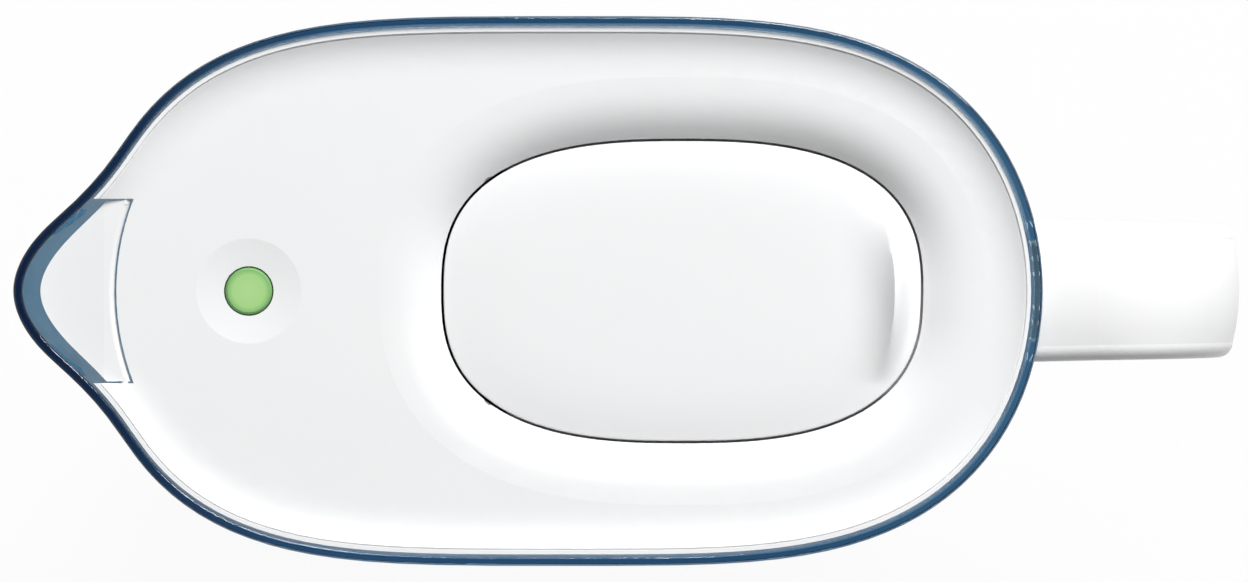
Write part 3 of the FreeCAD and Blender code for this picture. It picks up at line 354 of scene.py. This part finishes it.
# %% Silicone
silicone = Finish("silicone", IOR=1.41, Sheen_Weight=0.15)
silicone.colour(silicone.noise(4 * MILLIMETRE), (0.3, (0.50, 0.53, 0.55)), (0.7, (0.58, 0.61, 0.62)))
silicone.roughness(silicone.noise(1.5 * MILLIMETRE), 0.5, 0.7)
silicone.bump(silicone.noise(0.4 * MILLIMETRE), 0.03 * MILLIMETRE, 0.5)
dress(silicone, "cartridge_seal", "indicator_seal")

# %% [markdown]
# ## Filter grains
# The cartridge is filled with black carbon grains and amber resin beads. Each Voronoi cell is one
# grain: its random colour decides whether it is black or amber, and its rounded middle gives relief.

# %% Filter grains
media = Finish("filter_grains", IOR=1.5)
grain = media.grains(0.9 * MILLIMETRE)
media.colour(
    grain.outputs["Color"],
    (0.3, (0.018, 0.017, 0.016)),
    (0.55, (0.035, 0.033, 0.03)),
    (0.62, (0.30, 0.16, 0.045)),
    (0.9, (0.42, 0.25, 0.08)),
)
media.roughness(grain.outputs["Distance"], 0.35, 0.8)
media.bump(grain.outputs["Distance"], -0.4 * MILLIMETRE, 0.9)
dress(media, "filter_media")

# %% [markdown]
# ## The circuit board and what is on it
# Inside the sealed pod sits a small round board. Its green lacquer is darker over bare board than over
# copper, so a brick pattern in two greens reads as tracks. The switch is black moulded plastic and the
# lamp is a chip in milky resin.

# %% Board, switch and lamp
board = Finish("green_board", IOR=1.5, Coat_Weight=0.4)
tracks = board.node("ShaderNodeTexBrick", offset=0.37, squash=0.6)
tracks.inputs["Scale"].default_value = 1.0
tracks.inputs["Brick Width"].default_value = 3.2 * MILLIMETRE
tracks.inputs["Row Height"].default_value = 1.1 * MILLIMETRE
tracks.inputs["Mortar Size"].default_value = 0.16 * MILLIMETRE
tracks.inputs["Color1"].default_value = (0.008, 0.075, 0.03, 1)
tracks.inputs["Color2"].default_value = (0.01, 0.095, 0.036, 1)
tracks.inputs["Mortar"].default_value = (0.03, 0.20, 0.07, 1)
board.link(board.place, tracks.inputs["Vector"])
board.link(tracks.outputs["Color"], board.shader.inputs["Base Color"])
board.roughness(board.noise(3 * MILLIMETRE), 0.25, 0.4)
board.bump(tracks.outputs["Fac"], 0.03 * MILLIMETRE, 0.6)
dress(board, "circuit_board")

switch = Finish("black_switch_plastic", IOR=1.5)
switch.colour(switch.noise(1 * MILLIMETRE), (0.3, (0.02, 0.02, 0.022)), (0.7, (0.032, 0.032, 0.035)))
switch.roughness(switch.noise(0.5 * MILLIMETRE), 0.35, 0.55)
switch.bump(switch.noise(0.15 * MILLIMETRE), 0.01 * MILLIMETRE, 0.5)
dress(switch, "switch_body", "switch_plunger")

lamp = Finish("lamp_resin", IOR=1.53, Coat_Weight=0.5)
lamp.colour(lamp.noise(0.8 * MILLIMETRE), (0.35, (0.80, 0.78, 0.42)), (0.65, (0.84, 0.84, 0.66)))
lamp.roughness(lamp.noise(0.4 * MILLIMETRE), 0.12, 0.25)
dress(lamp, "led_chip")

# %% [markdown]
# ## Steel contacts and the coin cell
# Sheet steel shows the direction in which it was rolled: fine streaks, long one way and narrow the
# other. The coin cell is turned instead, so its streaks run in rings round its middle.

# %% Steel
contact = Finish("spring_steel", Metallic=1.0)
rolled = contact.moved(scale=(6 * MILLIMETRE, 0.12 * MILLIMETRE, 1 * MILLIMETRE))
streaks = contact.noise(1.0, detail=4, place=rolled)
contact.colour(streaks, (0.25, (0.52, 0.51, 0.48)), (0.75, (0.66, 0.65, 0.62)))
contact.roughness(streaks, 0.22, 0.42)
contact.bump(streaks, 0.01 * MILLIMETRE, 0.4)
dress(contact, "contact_negative", "contact_positive")

cell = Finish("turned_steel", Metallic=1.0)
rings = cell.rings(0.25 * MILLIMETRE, cell.moved((lens_middle.x, lens_middle.y, 0)))
cell.colour(cell.noise(2 * MILLIMETRE), (0.3, (0.58, 0.58, 0.59)), (0.7, (0.68, 0.68, 0.69)))
cell.roughness(rings, 0.18, 0.34)
cell.bump(rings, 0.008 * MILLIMETRE, 0.5)
dress(cell, "coin_cell")

# %% [markdown]
# ## Woven screens
# Two round screens keep the grains in the cartridge. A real one is a fine open weave, which shows
# through the slots of the cap. A square grid is trimmed to a circle, its lines become wires with the
# Wireframe modifier, and every other crossing is lifted a little so that the wires pass over and
# under each other. The second screen is made by the same steps at its own place.

# %% Helpers for modelling by hand


def only(piece):
    """Leave one object selected and active."""
    bpy.ops.object.select_all(action="DESELECT")
    piece.select_set(True)
    bpy.context.view_layer.objects.active = piece


def apply_modifier(piece, kind, **settings):
    """Add a modifier and make its result the piece's own mesh."""
    only(piece)
    modifier = piece.modifiers.new(kind.title(), kind)
    for setting, value in settings.items():
        setattr(modifier, setting, value)
    bpy.ops.object.modifier_apply(modifier=modifier.name)


# %% Woven screens
weave = Finish("woven_screen", IOR=1.5)
weave.colour(weave.noise(1.2 * MILLIMETRE), (0.3, (0.62, 0.64, 0.64)), (0.7, (0.74, 0.76, 0.75)))
weave.roughness(weave.noise(0.6 * MILLIMETRE), 0.4, 0.6)
weave.bump(weave.noise(0.2 * MILLIMETRE), 0.02 * MILLIMETRE, 0.5)
SCREEN_PITCH = 1.3 * MILLIMETRE
WIRE = 0.42 * MILLIMETRE


def woven_screen(name, node):
    """A round screen of wires in the place of a plain disc."""
    low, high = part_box(node)
    middle = middle_of(node)
    radius = (high.x - low.x) / 2
    lines = 2 * int(radius / SCREEN_PITCH)
    bpy.ops.object.select_all(action="DESELECT")
    bpy.ops.mesh.primitive_grid_add(x_subdivisions=lines, y_subdivisions=lines,
                                    size=lines * SCREEN_PITCH, location=middle)
    screen = bpy.context.object
    screen.name = name
    bpy.ops.object.transform_apply(location=True)
    lift = (high.z - low.z - WIRE) / 2
    for vertex in screen.data.vertices:
        column = round((vertex.co.x - middle.x) / SCREEN_PITCH)
        row = round((vertex.co.y - middle.y) / SCREEN_PITCH)
        vertex.co.z += lift if (column + row) % 2 else -lift
    bpy.ops.object.mode_set(mode="EDIT")
    bpy.ops.mesh.select_all(action="DESELECT")
    bpy.ops.object.mode_set(mode="OBJECT")
    reach = radius - WIRE
    for vertex in screen.data.vertices:
        vertex.select = math.hypot(vertex.co.x - middle.x, vertex.co.y - middle.y) > reach
    bpy.ops.object.mode_set(mode="EDIT")
    bpy.ops.mesh.delete(type="VERT")
    bpy.ops.object.mode_set(mode="OBJECT")
    apply_modifier(screen, "WIREFRAME", thickness=WIRE, use_even_offset=False, use_boundary=True)
    screen.data.materials.append(weave.material)
    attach(screen, "cartridge")
    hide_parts(node)
    print(name, "has", len(screen.data.polygons), "faces")


woven_screen("inlet_screen", "inlet_mesh")
woven_screen("outlet_screen", "outlet_mesh")

# %% [markdown]
# ## The filling flap
# The flap is one soft moulding: a shallow dome that sweeps up to a short curved ridge, which a finger
# pushes up from behind. Its half section is a row of points, from the middle of the top round the
# edge to the middle of the hollow underside. Turned through a full circle, these sections make the
# whole flap. How far each one reaches is read from the solid by casting a ray at it, so that the new
# skin fits its opening exactly.

# %% Outline of the filling flap
flap_solid = nodes["fill_flap"]
flap_low, flap_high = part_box("fill_flap")
flap_middle = Vector(((flap_low.x + flap_high.x) / 2, 0, flap_low.z))
CAST_LIFT = Vector((0, 0, 1 * MILLIMETRE))
EDGE_PROBE = 0.3 * MILLIMETRE


def flap_reach(way):
    """How far the solid flap reaches from its middle in one direction, below its pins."""
    start = flap_middle + CAST_LIFT + way * (flap_high.x - flap_low.x)
    return (flap_solid.ray_cast(start, -way)[1] - flap_middle).xy.length


def top_of_solid(x):
    """The height of the solid flap's top on its long axis."""
    start = Vector((x, 0, flap_high.z + CAST_LIFT.z))
    return flap_solid.ray_cast(start, Vector((0, 0, -1)))[1].z


flap_edge = top_of_solid(flap_low.x + EDGE_PROBE)
flap_dome = top_of_solid(flap_middle.x) - flap_edge
print("flap edge at", round(flap_edge, 4), "with a dome of", round(flap_dome, 4))

# %% Height of the filling flap
DOME_POWER = 6
RIDGE_HEIGHT = 5.4 * MILLIMETRE
RIDGE_HALF_LENGTH = 19.5 * MILLIMETRE
RIDGE_TAPER_POWER = 1.5
RIDGE_BEND_RADIUS = 58 * MILLIMETRE
SWEEP_LENGTH = 11.5 * MILLIMETRE
SWEEP_POWER = 3
RIDGE_BACK = 4.4 * MILLIMETRE
RIDGE_SET_BACK = 5.6 * MILLIMETRE
ridge_crest = flap_high.x - RIDGE_SET_BACK


def eased(value):
    """0 to 1, with a level start and end."""
    value = min(max(value, 0), 1)
    return value * value * (3 - 2 * value)


def ridge_rise(past):
    """The share of the ridge's height at a distance past its crest: a long sweep and a short fall."""
    if past > 0:
        return 1 - eased(past / RIDGE_BACK)
    return max(0, 1 + past / SWEEP_LENGTH) ** SWEEP_POWER


def flap_height(spot, share):
    """The height of the flap's top at a spot, which lies at a share of the way to the edge."""
    dome = flap_dome * (1 - share ** DOME_POWER)
    past = spot.x - ridge_crest + spot.y ** 2 / (2 * RIDGE_BEND_RADIUS)
    taper = max(0, 1 - (spot.y / RIDGE_HALF_LENGTH) ** 2) ** RIDGE_TAPER_POWER
    return flap_edge + dome + RIDGE_HEIGHT * taper * ridge_rise(past)


print("ridge crest at", round(ridge_crest, 4))


# %% Half sections of the filling flap
FLAP_SECTIONS = 288
TOP_RINGS = 96
UNDER_RINGS = 32
ROUND_STEPS = 4
EDGE_ROUND = 0.4 * MILLIMETRE
FLAP_WALL = 1.6 * MILLIMETRE
FLAP_PLATE = 2.2 * MILLIMETRE


def flap_section(way, reach):
    """Points from the middle of the top, round the edge, to the middle of the underside."""

    def skin(distance, drop):
        spot = flap_middle + way * distance
        spot.z = flap_height(spot, distance / reach) - drop
        return spot

    shoulder = reach - EDGE_ROUND
    points = [skin(shoulder * ring / TOP_RINGS, 0) for ring in range(TOP_RINGS + 1)]
    edge_level = points[-1].z
    for step in range(1, ROUND_STEPS + 1):
        turn = math.pi / 2 * step / ROUND_STEPS
        spot = flap_middle + way * (shoulder + EDGE_ROUND * math.sin(turn))
        spot.z = edge_level - EDGE_ROUND * (1 - math.cos(turn))
        points.append(spot)
    inner = reach - FLAP_WALL
    points += [flap_middle + way * reach, flap_middle + way * inner]
    points += [skin(inner * ring / UNDER_RINGS, FLAP_PLATE) for ring in range(UNDER_RINGS, -1, -1)]
    return points


sections = []
for section in range(FLAP_SECTIONS):
    angle = 2 * math.pi * section / FLAP_SECTIONS
    way = Vector((math.cos(angle), math.sin(angle), 0))
    sections.append(flap_section(way, flap_reach(way)))
print(len(sections), "sections of", len(sections[0]), "points")

# %% Skin of the filling flap
MERGE_WITHIN = 0.001 * MILLIMETRE
rows = len(sections[0]) - 1
bpy.ops.object.select_all(action="DESELECT")
bpy.ops.mesh.primitive_grid_add(x_subdivisions=FLAP_SECTIONS, y_subdivisions=rows, size=2)
flap = bpy.context.object
flap.name = "filling_flap"
for vertex in flap.data.vertices:
    column = round((vertex.co.x + 1) / 2 * FLAP_SECTIONS) % FLAP_SECTIONS
    row = round((vertex.co.y + 1) / 2 * rows)
    vertex.co = sections[column][row]
bpy.ops.object.mode_set(mode="EDIT")
bpy.ops.mesh.select_all(action="SELECT")
bpy.ops.mesh.remove_doubles(threshold=MERGE_WITHIN)
bpy.ops.mesh.normals_make_consistent(inside=False)
bpy.ops.object.mode_set(mode="OBJECT")
print("flap skin has", len(flap.data.polygons), "faces")

# %% Pins of the filling flap
PIN_SIDES = 32
PIN_MARGIN = 0.2 * MILLIMETRE
SMOOTH_UP_TO = math.radians(40)


def stands_out(point):
    """True for points of the solid that lie outside the flap's outline, which are on its pins."""
    way = (point - flap_middle) * Vector((1, 1, 0))
    return way.length > flap_reach(way.normalized()) + PIN_MARGIN


solid_points = [vertex.co for vertex in flap_solid.data.vertices]
pin_points = [point for point in solid_points if point.y > 0 and stands_out(point)]
pin_low = Vector([min(point[axis] for point in pin_points) for axis in range(3)])
pin_high = Vector([max(point[axis] for point in pin_points) for axis in range(3)])
pin_middle = (pin_low + pin_high) / 2
pin_root = pin_low.y - FLAP_WALL
for side in (1, -1):
    bpy.ops.object.select_all(action="DESELECT")
    bpy.ops.mesh.primitive_cylinder_add(
        vertices=PIN_SIDES,
        radius=(pin_high.z - pin_low.z) / 2,
        depth=pin_high.y - pin_root,
        location=(pin_middle.x, side * (pin_high.y + pin_root) / 2, pin_middle.z),
        rotation=(math.pi / 2, 0, 0),
    )
    bpy.ops.object.transform_apply(location=True, rotation=True)
    flap.select_set(True)
    bpy.context.view_layer.objects.active = flap
    bpy.ops.object.join()
only(flap)
bpy.ops.object.shade_smooth_by_angle(angle=SMOOTH_UP_TO)
flap.data.materials.clear()
flap.data.materials.append(flap_white.material)
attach(flap, "fill_flap")
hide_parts("fill_flap")
print("filling flap with pins at", [round(value, 4) for value in pin_middle])

# %% [markdown]
# ## The floor
# A pale floor stands for the table. It has to look white to the camera and in the clear plastic, yet
# still take the object's shadow, so most of it gives off plain white towards those rays, and the rest
# is an ordinary matt surface.

# %% Floor
FLOOR_SIZE = 40.0
FLOOR_DROP = 0.5 * MILLIMETRE
FLOOR_GLOW = 0.94
bpy.ops.object.select_all(action="DESELECT")
bpy.ops.mesh.primitive_plane_add(size=FLOOR_SIZE, location=(0, 0, -FLOOR_DROP))
floor = bpy.context.object
floor.name = "floor"


def seen_directly(tree):
    """1 for rays from the camera, or through clear or glossy surfaces, and 0 for diffuse light."""
    path = tree.nodes.new("ShaderNodeLightPath")
    total = path.outputs["Is Camera Ray"]
    for other in ("Is Glossy Ray", "Is Transmission Ray"):
        larger = tree.nodes.new("ShaderNodeMath")
        larger.operation = "MAXIMUM"
        tree.links.new(total, larger.inputs[0])
        tree.links.new(path.outputs[other], larger.inputs[1])
        total = larger.outputs["Value"]
    return total


floor_finish = Finish("pale_floor", Roughness=0.9)
floor_finish.colour(floor_finish.noise(0.2), (0.3, (0.80, 0.80, 0.80)), (0.7, (0.82, 0.82, 0.82)))
glow = floor_finish.node("ShaderNodeEmission")
glow.inputs["Color"].default_value = (1, 1, 1, 1)
glow.inputs["Strength"].default_value = 1.0
glow_share = floor_finish.ranged(seen_directly(floor_finish.tree), 0.0, FLOOR_GLOW)
both = floor_finish.node("ShaderNodeMixShader")
floor_finish.link(glow_share, both.inputs["Fac"])
floor_finish.link(floor_finish.shader.outputs["BSDF"], both.inputs[1])
floor_finish.link(glow.outputs["Emission"], both.inputs[2])
floor_finish.link(both.outputs["Shader"], floor_finish.output.inputs["Surface"])
floor.data.materials.append(floor_finish.material)
print("floor of", FLOOR_SIZE, "m")

# %% [markdown]
# ## Light
# One large soft lamp stands on the +Y side, a little towards the handle. The slope round the filling flap
# that lies nearest to it turns away from it and is in shade. The world gives an even fill from all round.
# Straight overhead, where the camera hangs, a studio is darker than its walls, and the flat top of the
# clear rim mirrors just that spot. So the world that mirrors see fades from white to grey overhead.

# %% Fill from all round
AMBIENT = 0.20
CEILING = 0.12
OVERHEAD_START, OVERHEAD_FULL = 0.55, 0.95
world = bpy.data.worlds.new("studio")
bpy.context.scene.world = world
world.use_nodes = True
tree = world.node_tree
sky = tree.nodes["Background"]
sky.inputs["Color"].default_value = (1, 1, 1, 1)
sky_share = tree.nodes.new("ShaderNodeMapRange")
sky_share.inputs["To Min"].default_value = AMBIENT
direction = tree.nodes.new("ShaderNodeTexCoord")
upward = tree.nodes.new("ShaderNodeSeparateXYZ")
overhead = tree.nodes.new("ShaderNodeMapRange")
overhead.inputs["From Min"].default_value = OVERHEAD_START
overhead.inputs["From Max"].default_value = OVERHEAD_FULL
overhead.inputs["To Min"].default_value = 1.0
overhead.inputs["To Max"].default_value = CEILING
tree.links.new(direction.outputs["Generated"], upward.inputs["Vector"])
tree.links.new(upward.outputs["Z"], overhead.inputs["Value"])
tree.links.new(overhead.outputs["Result"], sky_share.inputs["To Max"])
tree.links.new(seen_directly(tree), sky_share.inputs["Value"])
tree.links.new(sky_share.outputs["Result"], sky.inputs["Strength"])
print("fill of", AMBIENT)

# %% Soft lamp


def soft_lamp(name, azimuth, elevation, reach, size, power):
    """A square lamp that looks at the middle of the lid. Azimuth 0 is +X and 90 is +Y."""
    lamp_data = bpy.data.lights.new(name, "AREA")
    lamp_data.size = size
    lamp_data.energy = power
    lamp_object = bpy.data.objects.new(name, lamp_data)
    bpy.context.scene.collection.objects.link(lamp_object)
    turn = math.radians(azimuth)
    rise = math.radians(elevation)
    flat = math.cos(rise)
    way = Vector((math.cos(turn) * flat, math.sin(turn) * flat, math.sin(rise)))
    lamp_object.location = Vector((0, 0, rim_height)) + way * reach
    lamp_object.visible_transmission = False
    lamp_object.rotation_euler = way.to_track_quat("Z", "Y").to_euler()
    print(name, "at", [round(value, 2) for value in lamp_object.location])


soft_lamp("key_lamp", azimuth=67, elevation=42, reach=2.4, size=1.3, power=79.0)

# %% [markdown]
# ## Camera
# The picture looks straight down from far away, so the rim hides the walls below it. A long lens gives
# that. The frame is 1248 pixels wide, and on the rim's level one pixel covers as much as the jug's
# width of 550 pixels says.

# %% Camera
PICTURE_WIDTH = 1248
JUG_WIDTH_PIXELS = 550
FRAME_MIDDLE_PIXELS = 624
ORIGIN_PIXELS = 579
CAMERA_REACH = 3.0
metres_per_pixel = (jug_high.y - jug_low.y) / JUG_WIDTH_PIXELS
camera_data = bpy.data.cameras.new("camera")
camera = bpy.data.objects.new("camera", camera_data)
bpy.context.scene.collection.objects.link(camera)
camera_x = (FRAME_MIDDLE_PIXELS - ORIGIN_PIXELS) * metres_per_pixel
camera.location = (camera_x, 0, rim_height + CAMERA_REACH)
camera_data.lens = camera_data.sensor_width * CAMERA_REACH / (PICTURE_WIDTH * metres_per_pixel)
bpy.context.scene.camera = camera
bpy.context.scene.view_settings.view_transform = "Standard"
print("lens", round(camera_data.lens, 1), "mm")
